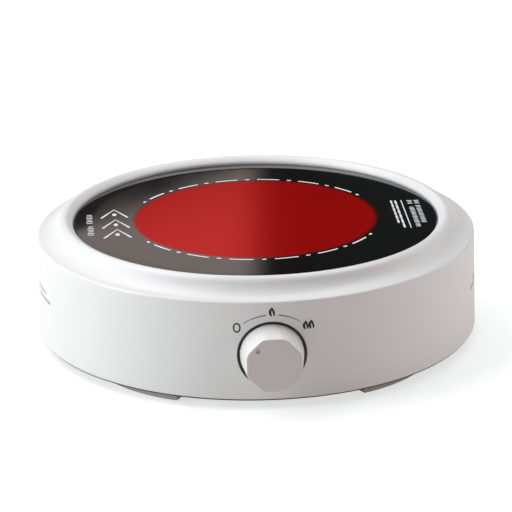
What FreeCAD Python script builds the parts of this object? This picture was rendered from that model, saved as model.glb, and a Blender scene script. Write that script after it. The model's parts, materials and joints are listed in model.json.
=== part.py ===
import FreeCAD, Part
import math
import os

V = FreeCAD.Vector
os.makedirs("parts", exist_ok=True)

# ---------------------------------------------------------------------------
# Round single-zone electric hot plate. Millimetres, +Z up, front towards -Y.
# Origin: on the drum's axis, at the surface that the feet stand on.
# ---------------------------------------------------------------------------

# heights
z_body = 4.54            # lower edge of the drum
z_glass = 57.0           # cooking surface
t_glass = 4.0            # glass thickness
t_seal = 0.6             # bead under the glass
z_crest = 60.5           # top of the raised lip

# drum and lip
r_glass = 89.9
r_lip_in = 90.2          # inside of the lip
r_ledge = 84.0           # inside of the ledge that carries the glass
r_crest = 93.3           # top of the lip
crest_rad = 4.3          # rounding of the lip's outer side
crest_slope = 60.0       # steepest slope of the lip, degrees
sweep_rad = 12.35        # hollow sweep from lip to shoulder
shoulder_slope = 8.0
shoulder_run = 0.45
shoulder_rad = 1.8       # shoulder to wall
draft = 1.07             # wall draft, degrees
wall = 2.4

# dial
z_knob = 26.5            # height of the knob's axis
r_dial_hole = 16.2
knob_base_r = 14.85
knob_face_af = 25.5      # across flats of the eight-sided face
knob_top_r = 13.35
y_knob_face = -121.9
y_knob_back = -105.2
spindle_r = 3.0
run_gap = 0.05           # radial running clearance of the spindle

# base, feet and fasteners
r_base = 105.9
t_base = 2.5
post_r = 4.2
post_at = 99.5           # radius of the screw posts
post_angles = (58.0, 122.0, 238.0, 302.0)   # from the front, towards +X
r_rim = 107.9            # edge of the base that shows under the wall
t_rim = 0.55
foot_in, foot_out = 95.7, 104.9
foot_taper = 4.6         # how far the foot's outer edge draws in towards its long end
foot_a0, foot_a1 = 24.8, 49.6
foot_low = 0.22          # underside of the feet; the pads stand below it
foot_pegs_at = (28.5, 37.5)
pad_in, pad_out = 96.9, 101.6
pad_at, pad_half = 34.5, 7.6
t_pad = 0.8

# heater
r_dish = 75.0
t_dish = 0.8
z_dish = 36.0
z_insul = 41.0
ribbon_t = 0.8
ribbon_h = 4.5
heater_turn = 40.0       # the heater's connections point back and to the left

# cord inlet
z_gland = 22.0
gland_bore = 3.3


# ---------------------------------------------------------------- helpers
def line(a, b):
    return Part.LineSegment(V(*a), V(*b)).toShape()


def arc(a, m, b):
    return Part.Arc(V(*a), V(*m), V(*b)).toShape()


def rz(p):
    return (p[0], 0.0, p[1])


def on_circle(c, r, deg):
    a = math.radians(deg)
    return (c[0] + r * math.cos(a), c[1] + r * math.sin(a))


def revolve_edges(edges, angle=360.0, start=0.0):
    face = Part.Face(Part.Wire(edges))
    s = face.revolve(V(0, 0, 0), V(0, 0, 1), angle)
    if start:
        s.rotate(V(0, 0, 0), V(0, 0, 1), start)
    return s


def revolve_poly(pts, angle=360.0, start=0.0):
    p = [rz(q) for q in pts]
    return revolve_edges([line(p[i], p[(i + 1) % len(p)]) for i in range(len(p))], angle, start)


def ring(r0, r1, z0, z1):
    o = Part.makeCylinder(r1, z1 - z0, V(0, 0, z0))
    if r0 <= 0:
        return o
    return o.cut(Part.makeCylinder(r0, z1 - z0 + 2, V(0, 0, z0 - 1)))


def sector(r0, r1, z0, z1, a0, a1):
    """Ring sector; angles in degrees from the front (-Y), towards +X."""
    return revolve_poly([(r0, z0), (r1, z0), (r1, z1), (r0, z1)], a1 - a0, a0 - 90.0)


def box(x0, x1, y0, y1, z0, z1):
    return Part.makeBox(x1 - x0, y1 - y0, z1 - z0, V(x0, y0, z0))


def cyl_y(r, y0, y1, x=0.0, z=0.0):
    return Part.makeCylinder(r, y1 - y0, V(x, y0, z), V(0, 1, 0))


def cyl_z(r, z0, z1, x=0.0, y=0.0):
    return Part.makeCylinder(r, z1 - z0, V(x, y, z0))


def prism(pts, direction):
    p = [V(*q) for q in pts]
    w = Part.makePolygon(p + [p[0]])
    return Part.Face(w).extrude(V(*direction))


def hexagon_y(af, y0, y1, x=0.0, z=0.0):
    r = af / 2.0 / math.cos(math.pi / 6)
    pts = [(x + r * math.cos(math.radians(60 * i)), y0, z + r * math.sin(math.radians(60 * i))) for i in range(6)]
    return prism(pts, (0, y1 - y0, 0))


def hexagon_z(af, z0, z1, x=0.0, y=0.0):
    r = af / 2.0 / math.cos(math.pi / 6)
    pts = [(x + r * math.cos(math.radians(60 * i)), y + r * math.sin(math.radians(60 * i)), z0) for i in range(6)]
    return prism(pts, (0, 0, z1 - z0))


def at_front_angle(r, deg):
    a = math.radians(deg)
    return r * math.sin(a), -r * math.cos(a)


def turned(s, deg):
    s = s.copy()
    s.rotate(V(0, 0, 0), V(0, 0, 1), deg)
    return s


def tube(points, r, most=9.0):
    """Round wire along straight runs joined by tangent arcs."""
    P = [V(*p) for p in points]
    edges, here, length = [], P[0], 0.0
    for i in range(1, len(P) - 1):
        a, b = P[i - 1] - P[i], P[i + 1] - P[i]
        la, lb = a.Length, b.Length
        a.normalize()
        b.normalize()
        inner = math.acos(max(-1.0, min(1.0, a.dot(b))))
        turn = math.pi - inner
        R = min(0.45 * min(la, lb) / math.tan(turn / 2), most)
        t = R * math.tan(turn / 2)
        p0, p1 = P[i] + a * t, P[i] + b * t
        bis = a + b
        bis.normalize()
        c = P[i] + bis * (R / math.cos(turn / 2))
        mid = c - bis * R
        edges.append(Part.LineSegment(here, p0).toShape())
        edges.append(Part.Arc(p0, mid, p1).toShape())
        length += (p0 - here).Length + R * turn
        here = p1
    edges.append(Part.LineSegment(here, P[-1]).toShape())
    length += (P[-1] - here).Length
    d = P[1] - P[0]
    d.normalize()
    prof = Part.Wire([Part.Circle(P[0], d, r).toShape()])
    s = Part.Wire(edges).makePipeShell([prof], True, False)
    want = math.pi * r * r * length
    print("wire length %.1f, volume ratio %.4f, valid %s" % (length, s.Volume / want, s.isValid()))
    return s


parts = {}


def keep(name, shape):
    parts[name] = shape


# ---------------------------------------------------------------- drum
zg_low = z_glass - t_glass                 # underside of the glass
z_ledge = zg_low - t_seal                  # top of the ledge

crest_c = (r_crest, z_crest - crest_rad)
p_top = (r_crest, z_crest)
p1 = on_circle(crest_c, crest_rad, 90.0 - crest_slope)
p1m = on_circle(crest_c, crest_rad, 90.0 - crest_slope / 2)
sweep_c = on_circle(p1, sweep_rad, 90.0 - crest_slope)
p2 = on_circle(sweep_c, sweep_rad, 270.0 - shoulder_slope)
p2m = on_circle(sweep_c, sweep_rad, (450.0 - crest_slope - shoulder_slope + 90.0) / 2.0)
p3 = (p2[0] + shoulder_run * math.cos(math.radians(shoulder_slope)),
      p2[1] - shoulder_run * math.sin(math.radians(shoulder_slope)))
sh_c = (p3[0] - shoulder_rad * math.sin(math.radians(shoulder_slope)),
        p3[1] - shoulder_rad * math.cos(math.radians(shoulder_slope)))
p4 = on_circle(sh_c, shoulder_rad, draft)
p4m = on_circle(sh_c, shoulder_rad, (90.0 - shoulder_slope + draft) / 2)


def wall_r(z):
    """Outside radius of the drum's wall at a height."""
    return p4[0] + (p4[1] - z) * math.tan(math.radians(draft))


def wall_in(z):
    return wall_r(z) - wall


q1 = (wall_r(z_body + 0.8), z_body + 0.8)
q2 = (wall_r(z_body) - 0.8, z_body)
q_c = (q2[0], q1[1])
q_m = on_circle(q_c, 0.8, -45.0)

lip_c = (r_crest, z_crest - 1.6)
i1 = on_circle(lip_c, 1.6, 150.0)
i1m = on_circle(lip_c, 1.6, 120.0)

low = [
    (wall_in(z_body), z_body),
    (wall_in(48.3), 48.3),
    (104.6, 49.8),
    (102.0, 50.7),
    (98.5, 53.1),
    (95.0, 57.0),
    (94.2, 57.9),
    (92.5, 57.9),
    (92.5, 49.8),
    (r_ledge, 49.8),
    (r_ledge, z_ledge),
    (r_lip_in, z_ledge),
    (r_lip_in, z_glass - 0.1),
]
edges = []
for a, b in zip(low[:-1], low[1:]):
    edges.append(line(rz(a), rz(b)))
edges += [
    line(rz(low[-1]), rz(i1)),
    arc(rz(i1), rz(i1m), rz(p_top)),
    arc(rz(p_top), rz(p1m), rz(p1)),
    arc(rz(p1), rz(p2m), rz(p2)),
    line(rz(p2), rz(p3)),
    arc(rz(p3), rz(p4m), rz(p4)),
    line(rz(p4), rz(q1)),
    arc(rz(q1), rz(q_m), rz(q2)),
    line(rz(q2), rz(low[0])),
]
housing = revolve_edges(edges)

inside = ring(0, 106.9, z_body + 0.5, 50.0)      # keeps the inner pads under the outer skin

# screw posts with a rib to the wall
z_post = z_body + t_base + 3.0
adds = []
for a in post_angles:
    x, y = at_front_angle(post_at, a)
    adds.append(cyl_z(post_r, z_post, 52.3, x, y))
    rib = box(-1.0, 1.0, -106.6, -(post_at - 1.0), z_post + 2.0, 49.0)
    adds.append(turned(rib, a))
# flat pads behind the dial hole and around the cord inlet
pad = cyl_y(18.6, -108.0, -103.0, 0, z_knob).fuse(box(-23.5, 23.5, -108.0, -103.0, z_knob - 4.5, z_knob + 4.5))
adds.append(pad.common(inside))
adds.append(cyl_y(10.8, 104.6, 108.0, 0, z_gland).common(inside))
housing = housing.fuse(adds).removeSplitter()

cuts = [cyl_y(r_dial_hole, -112.0, -100.0, 0, z_knob)]
for x in (-19.8, 19.8):
    cuts.append(cyl_y(1.3, -105.1, -102.0, x, z_knob))
for a in post_angles:
    x, y = at_front_angle(post_at, a)
    cuts.append(cyl_z(1.95, z_post - 1.0, z_post + 14.0, x, y))
# cord inlet: hole and outer seat
cuts.append(cyl_y(6.1, 100.0, 112.0, 0, z_gland))
cuts.append(cyl_y(10.4, 107.6, 112.0, 0, z_gland))
# side vents: two rows of three slots on each side
vent_h = 1.6
vent_rows = ((z_glass - 25.075, 91.0), (z_glass - 28.525, 88.0))   # height, middle from the front
for side in (1.0, -1.0):
    for zc, middle in vent_rows:
        for k in (-1, 0, 1):
            mid = side * (middle + k * 12.0)
            cuts.append(sector(100.0, 114.0, zc - vent_h / 2, zc + vent_h / 2, mid - 5.2, mid + 5.2))
housing = housing.cut(cuts)
keep("upper_housing", housing)

# ---------------------------------------------------------------- glass
b = 0.6
glass = revolve_poly([(0, zg_low), (r_glass - 0.4, zg_low), (r_glass, zg_low + 0.4), (r_glass, z_glass - b),
                      (r_glass - b, z_glass), (0, z_glass)])
keep("glass_plate", glass)
keep("glass_seal", ring(r_ledge + 0.5, r_glass - 0.6, z_ledge, zg_low))

# ---------------------------------------------------------------- base cover
z_bt = z_body + t_base
base = ring(0, r_base, z_body, z_bt).fuse(ring(foot_out + 0.2, r_rim, z_body - t_rim, z_body)).removeSplitter()
badd, bcut = [], []
for a in post_angles:
    x, y = at_front_angle(post_at, a)
    badd.append(cyl_z(5.6, z_bt - 0.5, z_post, x, y))
    bcut.append(cyl_z(2.1, z_body - 1, z_post + 1, x, y))
    bcut.append(cyl_z(4.0, z_body - 1, z_body + 2.4, x, y))
leg_pts = [(sx * 91.0, sy * 7.0) for sx in (-1, 1) for sy in (-1, 1)]
z_boss = 13.0
for x, y in leg_pts:
    badd.append(cyl_z(4.0, z_bt - 0.5, z_boss, x, y))
    bcut.append(cyl_z(1.55, z_body + 1.2, z_boss + 1, x, y))
base = base.fuse(badd).removeSplitter()
foot_pegs = []
for half_turn in (0.0, 180.0):
    for side in (-1, 1):
        for d in foot_pegs_at:
            foot_pegs.append(at_front_angle(99.9, half_turn + side * d))
for x, y in foot_pegs:
    bcut.append(cyl_z(2.05, z_body - 1, z_bt + 1, x, y))
# radial air slots, left out under the supply terminals
for i in range(24):
    deg = i * 15.0
    if 120.0 <= deg <= 165.0:
        continue
    s = box(-1.6, 1.6, -62.0, -36.0, z_body - 1, z_bt + 1)
    s = s.fuse([cyl_z(1.6, z_body - 1, z_bt + 1, 0, -62.0), cyl_z(1.6, z_body - 1, z_bt + 1, 0, -36.0)])
    bcut.append(turned(s, deg))
base = base.cut(bcut)
keep("base_cover", base)

screws = []
for a in post_angles:
    x, y = at_front_angle(post_at, a)
    s = cyl_z(3.7, z_body + 0.3, z_body + 2.4, x, y).fuse(cyl_z(1.9, z_body + 2.0, z_post + 12.0, x, y))
    s = s.cut([box(x - 2.2, x + 2.2, y - 0.45, y + 0.45, z_body, z_body + 1.3),
               box(x - 0.45, x + 0.45, y - 2.2, y + 2.2, z_body, z_body + 1.3)])
    screws.append(s.removeSplitter())
keep("base_screws", Part.makeCompound(screws))

# ---------------------------------------------------------------- feet


def arc_pad(r0, r1, half, z0, z1, rnd):
    """Arc-shaped pad, centred on the front, with rounded ends."""
    rm, hw = (r0 + r1) / 2.0, (r1 - r0) / 2.0
    e = half - math.degrees(hw / rm)
    s = sector(r0, r1, z0, z1, -e, e)
    for sg in (-1, 1):
        x, y = at_front_angle(rm, sg * e)
        s = s.fuse(cyl_z(hw, z0, z1, x, y))
    s = s.removeSplitter()
    if rnd > 0:
        low_edges = [q for q in s.Edges if all(abs(v.Point.z - z0) < 1e-6 for v in q.Vertexes)]
        s = s.makeChamfer(rnd, low_edges)
    return s


def foot_edge(a):
    t = (a - foot_a0) / (foot_a1 - foot_a0)
    return foot_out - foot_taper * t * t


def foot_solid(side):
    """One foot at the front: square at its front end, drawn in towards its long end."""
    def at(r, a):
        x, y = at_front_angle(r, side * a)
        return V(x, y, foot_low)

    am = (foot_a0 + foot_a1) / 2.0
    outer = Part.BSplineCurve()
    outer.interpolate([at(foot_edge(foot_a0 + (foot_a1 - foot_a0) * i / 8.0), foot_a0 + (foot_a1 - foot_a0) * i / 8.0) for i in range(9)])
    r_long = foot_edge(foot_a1)
    edges = [outer.toShape(),
             Part.Arc(at(r_long, foot_a1), at((r_long + foot_in) / 2.0, foot_a1 + 1.1), at(foot_in, foot_a1)).toShape(),
             Part.Arc(at(foot_in, foot_a1), at(foot_in, am), at(foot_in, foot_a0)).toShape(),
             Part.LineSegment(at(foot_in, foot_a0), at(foot_out, foot_a0)).toShape()]
    s = Part.Face(Part.Wire(edges)).extrude(V(0, 0, z_body - foot_low))
    low = [q for q in s.Edges if all(abs(v.Point.z - foot_low) < 1e-6 for v in q.Vertexes) and q.Curve.TypeId == "Part::GeomLine"]
    return s.makeChamfer(0.35, low)


feet, pads = [], []
one_pad = arc_pad(pad_in, pad_out, pad_half, 0.0, t_pad, 0.0)
pocket = arc_pad(pad_in - 0.1, pad_out + 0.1, pad_half + 0.06, -1.0, t_pad, 0.0)
k = 0
for half_turn in (0.0, 180.0):
    for side in (-1, 1):
        f = foot_solid(side).cut(turned(pocket, side * pad_at))
        f = turned(f, half_turn)
        pegs = [cyl_z(2.0, z_body - 0.5, z_bt, x, y) for x, y in foot_pegs[2 * k:2 * k + 2]]
        feet.append(f.fuse(pegs).removeSplitter())
        pads.append(turned(one_pad, half_turn + side * pad_at))
        k += 1
keep("feet", Part.makeCompound(feet))
keep("foot_pads", Part.makeCompound(pads))

# ---------------------------------------------------------------- heater
z_in0 = z_dish + t_dish
dish = ring(0, r_dish, z_dish, 51.5).cut(ring(0, r_dish - t_dish, z_in0, 60.0))
ins_base = ring(0, r_dish - t_dish, z_in0, z_insul)
ins_ring = ring(66.0, r_dish - t_dish, z_insul, zg_low)

tail_x = (-12.0, -5.0, 2.0, 7.0)             # leads, across the connection side
z_t0, z_t1 = z_insul + 0.8, z_insul + 3.6
slots = [box(x - 0.9, x + 0.9, 60.0, 80.0, z_t0 - 0.5, z_t1 + 0.5) for x in tail_x]
slots = [turned(s, heater_turn) for s in slots]
rod_r, z_rod = 1.2, 48.0
rod_hole = Part.makeCylinder(rod_r + 0.25, 30.0, V(60, 0, z_rod), V(1, 0, 0))
dish = dish.cut(slots + [rod_hole])
ins_ring = ins_ring.cut(slots + [rod_hole])
keep("heater_dish", dish)
keep("insulation_base", ins_base)
keep("insulation_ring", ins_ring)


def ribbon(radii, side, gap, tails):
    """Flat strip wound to and fro in arcs, with a gap at the connection side (+Y)."""
    pieces = []
    z0, z1 = z_insul, z_insul + ribbon_h
    for r in radii:
        h = math.degrees(math.asin(gap / r))
        pieces.append(revolve_poly([(r - ribbon_t / 2, z0), (r + ribbon_t / 2, z0), (r + ribbon_t / 2, z1),
                                    (r - ribbon_t / 2, z1)], 360.0 - 2 * h, 90.0 + h))
    s = -side
    for ra, rb in zip(radii[:-1], radii[1:]):
        x = s * gap
        ya = math.sqrt(ra * ra - gap * gap)
        yb = math.sqrt(rb * rb - gap * gap)
        x0, x1 = (x, x + ribbon_t) if s > 0 else (x - ribbon_t, x)
        pieces.append(box(x0, x1, yb - ribbon_t / 2, ya + ribbon_t / 2, z0, z1))
        s = -s
    for x, r in tails:
        y0 = math.sqrt(r * r - gap * gap)
        pieces.append(box(x - 0.4, x + 0.4, y0 - 0.4, 76.6, z_t0, z_t1))
        xa, xb = sorted((x - side * 0.4, side * (gap + 0.8)))
        pieces.append(box(xa, xb, y0 - 0.4, y0 + 0.4, z_t0, z_t1))
    out = pieces[0].fuse(pieces[1:]).removeSplitter()
    return turned(out, heater_turn)


outer = ribbon((61.0, 56.0, 51.0, 46.0), -1, 12.5, ((tail_x[0], 61.0), (tail_x[1], 46.0)))
inner = ribbon((39.0, 33.0, 27.0, 21.0), 1, 8.2, ((tail_x[3], 39.0), (tail_x[2], 21.0)))
keep("heating_ribbon_outer", outer)
keep("heating_ribbon_inner", inner)

rod = Part.makeCylinder(rod_r, 76.0 + 55.0, V(-55, 0, z_rod), V(1, 0, 0))
keep("limiter_rod", rod)
head = box(76.0, 96.0, -8.0, 8.0, 38.0, 49.4)
head = head.cut(box(90.0, 97.0, -5.0, 5.0, 45.5, 50.0))
tab = [box(92.0, 92.8, y - 2.4, y + 2.4, 45.5, 49.2) for y in (-2.6, 2.6)]
keep("limiter_head", head)
keep("limiter_tabs", Part.makeCompound(tab))

# connection block at the heater's edge
blk = box(-17.0, 13.0, 76.6, 90.0, 38.5, 48.5)
blk = blk.cut(box(-14.0, 10.0, 78.5, 88.0, 45.0, 49.0))
keep("heater_terminal_block", turned(blk, heater_turn))
term_x = (-11.0, -1.5, 8.0)
terms = [turned(box(x - 2.4, x + 2.4, 90.0, 97.0, 41.6, 42.4), heater_turn) for x in term_x]
keep("heater_terminals", Part.makeCompound(terms))

# ---------------------------------------------------------------- heater support
z_bar = 28.5
t_bar = 1.5
half = [(0, z_bar), (82.5, z_bar), (82.5, z_boss), (97.0, z_boss), (97.0, z_boss + t_bar), (84.0, z_boss + t_bar),
        (84.0, z_bar + t_bar), (0, z_bar + t_bar)]
left = [(-x, z) for x, z in reversed(half)]
pts = half[1:-1] + left[1:-1]
bar = prism([(x, -12.0, z) for x, z in pts], (0, 24.0, 0))
bar_cut = [cyl_z(1.7, z_boss - 1, z_boss + t_bar + 1, x, y) for x, y in leg_pts]
rivet_x = (-66.0, 66.0)
bar_cut += [cyl_z(1.5, z_bar - 1, z_bar + t_bar + 1, x, 0) for x in rivet_x]
bar_cut.append(cyl_z(2.05, z_bar - 1, z_bar + t_bar + 1, 78.5, 0))
bar = bar.cut(bar_cut)
keep("support_bracket", bar)

bs = []
for x, y in leg_pts:
    s = cyl_z(3.0, z_boss + t_bar, z_boss + t_bar + 2.0, x, y).fuse(cyl_z(1.5, z_body + 1.6, z_boss + t_bar + 0.2, x, y))
    s = s.cut(box(x - 2.0, x + 2.0, y - 0.4, y + 0.4, z_boss + t_bar + 1.0, z_boss + t_bar + 3.0))
    bs.append(s.removeSplitter())
keep("bracket_screws", Part.makeCompound(bs))

shield = ring(0, 72.0, z_bar - 0.6, z_bar).cut([cyl_z(1.5, z_bar - 2, z_bar + 1, x, 0) for x in rivet_x])
keep("heat_shield", shield)
rv = []
for x in rivet_x:
    rv.append(cyl_z(2.8, z_bar + t_bar, z_bar + t_bar + 0.9, x, 0).fuse(
        [cyl_z(1.48, z_bar - 1.2, z_bar + t_bar + 0.2, x, 0), cyl_z(2.6, z_bar - 1.5, z_bar - 0.6, x, 0)]).removeSplitter())
keep("shield_rivets", Part.makeCompound(rv))

zb = z_bar + t_bar
springs = []
for x0 in (-42.0, 42.0):
    prof = [(-14, zb + 0.8), (-9.3, zb + 0.8), (-4.3, z_dish), (4.3, z_dish), (9.3, zb + 0.8), (14, zb + 0.8),
            (14, zb), (8.9, zb), (3.9, z_dish - 0.8), (-3.9, z_dish - 0.8), (-8.9, zb), (-14, zb)]
    springs.append(prism([(x0 + x, -6.0, z) for x, z in prof], (0, 12.0, 0)))
keep("support_springs", Part.makeCompound(springs))

fuse = cyl_y(2.0, -6.0, 6.0, 0, zb + 2.0).fuse(cyl_y(0.5, -13.0, 13.0, 0, zb + 2.0)).removeSplitter()
keep("thermal_fuse", fuse)
clip = cyl_y(2.6, -2.0, 2.0, 0, zb + 2.0).fuse([box(-2.6, 2.6, -2.0, 2.0, zb, zb + 2.0), box(-6.0, 6.0, -2.0, 2.0, zb, zb + 0.6)])
clip = clip.cut([cyl_y(2.05, -3.0, 3.0, 0, zb + 2.0), box(-2.05, 2.05, -3.0, 3.0, zb - 1.0, zb + 2.0)])
clip = clip.common(box(-7, 7, -2, 2, zb, zb + 6)).removeSplitter()
keep("fuse_clip", clip)

stud = cyl_z(2.0, z_bar - 1.6, zb + 6.4, 78.5, 0).fuse(cyl_z(3.4, z_bar - 1.6, z_bar, 78.5, 0)).removeSplitter()
keep("earth_stud", stud)
lug = cyl_z(4.0, zb, zb + 0.8, 78.5, 0).fuse(box(76.5, 80.5, 0, 14.0, zb, zb + 0.8))
keep("earth_lug", lug.cut(cyl_z(2.05, zb - 1, zb + 2, 78.5, 0)).removeSplitter())
nut = hexagon_z(7.0, zb + 0.8, zb + 4.0, 78.5, 0).cut(cyl_z(2.05, zb, zb + 5, 78.5, 0))
keep("earth_nut", nut)

# ---------------------------------------------------------------- dial bezel
bez = cyl_y(16.1, -109.5, -101.5, 0, z_knob).fuse([cyl_y(18.5, -103.0, -101.5, 0, z_knob),
                                                  box(-23.0, 23.0, -103.0, -101.5, z_knob - 4.0, z_knob + 4.0)])
bez = bez.cut([cyl_y(15.2, -110.0, -103.0, 0, z_knob), cyl_y(5.0, -104.0, -101.0, 0, z_knob)])
bez = bez.cut([cyl_y(2.6, -104.0, -101.0, x, z_knob) for x in (-12.3, 12.3)])
bez = bez.cut([cyl_y(1.4, -104.0, -101.0, x, z_knob) for x in (-19.8, 19.8)])
bez = bez.common(ring(0, 107.9, 0, 60.0)).removeSplitter()
keep("knob_bezel", bez)

# ---------------------------------------------------------------- switch
plate = box(-23.0, 23.0, -101.5, -100.3, 8.6, 44.5)
plate = plate.cut([cyl_y(4.5, -103.0, -99.0, 0, z_knob)] +
                  [cyl_y(1.4, -103.0, -99.0, x, z_knob) for x in (-12.3, 12.3, -19.8, 19.8)])
keep("switch_bracket", plate)
ms = []
for x in (-19.8, 19.8):
    s = cyl_y(2.3, -100.3, -98.6, x, z_knob).fuse(cyl_y(1.25, -104.9, -100.1, x, z_knob))
    s = s.cut(box(x - 1.7, x + 1.7, -99.4, -98.0, z_knob - 0.3, z_knob + 0.3))
    ms.append(s.removeSplitter())
keep("bracket_mount_screws", Part.makeCompound(ms))

cover = box(-15.0, 15.0, -100.3, -97.0, z_knob - 15.0, z_knob + 15.0)
case = box(-15.0, 15.0, -97.0, -83.0, z_knob - 15.0, z_knob + 15.0)
# the fixing screws' heads lie in the bezel's floor, their shanks in the case
sw = []
for x in (-12.3, 12.3):
    s = cyl_y(2.4, -103.0, -101.5, x, z_knob).fuse(cyl_y(1.25, -101.7, -90.0, x, z_knob))
    s = s.cut(box(x - 1.8, x + 1.8, -104.0, -102.2, z_knob - 0.3, z_knob + 0.3))
    sw.append(s.removeSplitter())
keep("switch_screws", Part.makeCompound(sw))
cover = cover.cut([cyl_y(spindle_r + run_gap, -102.0, -96.0, 0, z_knob)] +
                  [cyl_y(1.3, -102.0, -96.0, x, z_knob) for x in (-12.3, 12.3)])
keep("switch_cover", cover)
case = case.cut([cyl_y(10.5, -98.0, -86.0, 0, z_knob)] + [cyl_y(1.3, -98.0, -89.5, x, z_knob) for x in (-12.3, 12.3)])
tab_at = [(-9.0, -8.3, z_knob - 4.6, z_knob - 1.2), (8.3, 9.0, z_knob - 4.6, z_knob - 1.2),
          (-1.7, 1.7, z_knob - 9.0, z_knob - 8.3)]
case = case.cut([box(x0, x1, -86.5, -82.0, z0, z1) for x0, x1, z0, z1 in tab_at])
keep("switch_case", case)
keep("switch_terminals", Part.makeCompound([box(x0, x1, -86.0, -77.0, z0, z1) for x0, x1, z0, z1 in tab_at]))
keep("switch_contacts", Part.makeCompound([box(x0, x1, -94.5, -86.0, z0, z1) for x0, x1, z0, z1 in tab_at]))

# rotor: drum with lobes, on the spindle
flat_z = 2.2                                # D-flat of the spindle
spin = cyl_y(spindle_r, -113.4, -88.4, 0, z_knob)
spin = spin.cut(box(-4, 4, -114.0, -104.4, z_knob + flat_z, z_knob + 5))
keep("switch_spindle", spin)
cam = cyl_y(6.6, -96.4, -88.4, 0, z_knob)
for a in (30.0, 150.0, 270.0):
    lobe = cyl_y(2.0, -96.0, -89.0, 5.9 * math.cos(math.radians(a)), z_knob + 5.9 * math.sin(math.radians(a)))
    cam = cam.fuse(lobe)
cam = cam.removeSplitter().cut(cyl_y(spindle_r + 0.02, -98.0, -87.0, 0, z_knob))
keep("switch_cam", cam)

# ---------------------------------------------------------------- knob


def octagon(af, y):
    r = af / 2.0 / math.cos(math.pi / 8)
    p = [V(r * math.cos(math.radians(22.5 + 45 * i)), y, z_knob + r * math.sin(math.radians(22.5 + 45 * i))) for i in range(8)]
    return Part.makePolygon(p + [p[0]])


y_cone = -107.5
facet_grow = 0.165
deep = y_knob_back - y_knob_face
pyr = Part.makeLoft([octagon(knob_face_af, y_knob_face), octagon(knob_face_af + 2 * facet_grow * deep, y_knob_back)], True, True)
cone = Part.makeCone(knob_top_r, knob_base_r, y_cone - y_knob_face, V(0, y_knob_face, z_knob), V(0, 1, 0))
cone = cone.fuse(cyl_y(knob_base_r, y_cone, y_knob_back, 0, z_knob)).removeSplitter()
knob = cone.common(pyr)
front = [e for e in knob.Edges if all(abs(v.Point.y - y_knob_face) < 1e-5 for v in e.Vertexes)]
knob = knob.makeFillet(0.6, front)
# hollow back, hub and D-shaped socket
knob = knob.cut(cyl_y(12.7, -112.0, y_knob_back + 1, 0, z_knob).cut(cyl_y(6.6, -113.0, y_knob_back + 1, 0, z_knob)))
sock = cyl_y(spindle_r + 0.02, -113.6, -104.0, 0, z_knob)
sock = sock.cut(box(-4, 4, -115.0, -103.0, z_knob + flat_z + 0.55, z_knob + 6))
knob = knob.cut([sock, box(-2.05, 2.05, -113.0, -104.0, z_knob + flat_z - 0.5, z_knob + flat_z + 0.6)])
dx = 10.35 * math.sin(math.radians(45.0))
knob = knob.cut(Part.makeSphere(1.15, V(-dx, y_knob_face - 0.1, z_knob + dx)))
keep("knob", knob)
keep("knob_clip", box(-2.0, 2.0, -112.8, -105.6, z_knob + flat_z, z_knob + flat_z + 0.55))

# ---------------------------------------------------------------- supply terminals
tb = box(18.0, 46.0, 40.0, 56.0, z_bt, 20.0)
tb_x = (23.0, 32.0, 41.0)
tb = tb.cut([cyl_z(1.45, 11.9, 21.0, x, 48.0) for x in tb_x])
tb = tb.cut([box(x - 0.6, x + 0.6, 39.0, 57.0, 18.0, 21.0) for x in (27.5, 36.5)])
keep("mains_terminal_block", tb)
ts = []
for x in tb_x:
    s = cyl_z(2.4, 20.0, 21.6, x, 48.0).fuse(cyl_z(1.4, 12.2, 20.2, x, 48.0))
    s = s.cut(box(x - 1.8, x + 1.8, 47.7, 48.3, 20.9, 22.0))
    ts.append(s.removeSplitter())
keep("terminal_screws", Part.makeCompound(ts))

# ---------------------------------------------------------------- cord inlet
g_seat = 107.6
body = cyl_y(6.0, 98.0, g_seat + 0.2, 0, z_gland).fuse([hexagon_y(15.0, g_seat, 111.4, 0, z_gland), cyl_y(5.5, 111.2, 116.0, 0, z_gland)])
body = body.removeSplitter().cut(cyl_y(gland_bore, 97.0, 117.0, 0, z_gland))
keep("gland_body", body)
keep("gland_seal", cyl_y(5.0, 116.0, 119.4, 0, z_gland).cut(cyl_y(gland_bore + 0.4, 115.0, 120.0, 0, z_gland)))


def revolve_y(pts, z):
    """Revolve (radius, y) points about the axis along Y at a height."""
    p = [V(r, y, z) for r, y in pts]
    f = Part.Face(Part.makePolygon(p + [p[0]]))
    return f.revolve(V(0, 0, z), V(0, 1, 0), 360)


cap = revolve_y([(5.55, 111.4), (8.0, 111.4), (8.0, 117.0), (7.5, 119.3), (6.4, 120.9), (5.0, 121.9), (3.9, 121.9),
                 (3.9, 119.4), (5.05, 119.4), (5.05, 116.05), (5.55, 116.05)], z_gland)
grip = []
for i in range(12):
    a = math.radians(30 * i + 15)
    grip.append(cyl_y(0.9, 111.0, 118.4, 8.5 * math.cos(a), z_gland + 8.5 * math.sin(a)))
cap = cap.cut(grip)
keep("gland_cap", cap)
keep("gland_locknut", hexagon_y(16.0, 100.8, 104.6, 0, z_gland).cut(cyl_y(6.05, 99.0, 106.0, 0, z_gland)))

# ---------------------------------------------------------------- wires inside
wr = 1.1


def heater_tab(i):
    c, s = math.cos(math.radians(heater_turn)), math.sin(math.radians(heater_turn))
    x, y = term_x[i], 94.0
    return x * c - y * s, x * s + y * c


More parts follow.
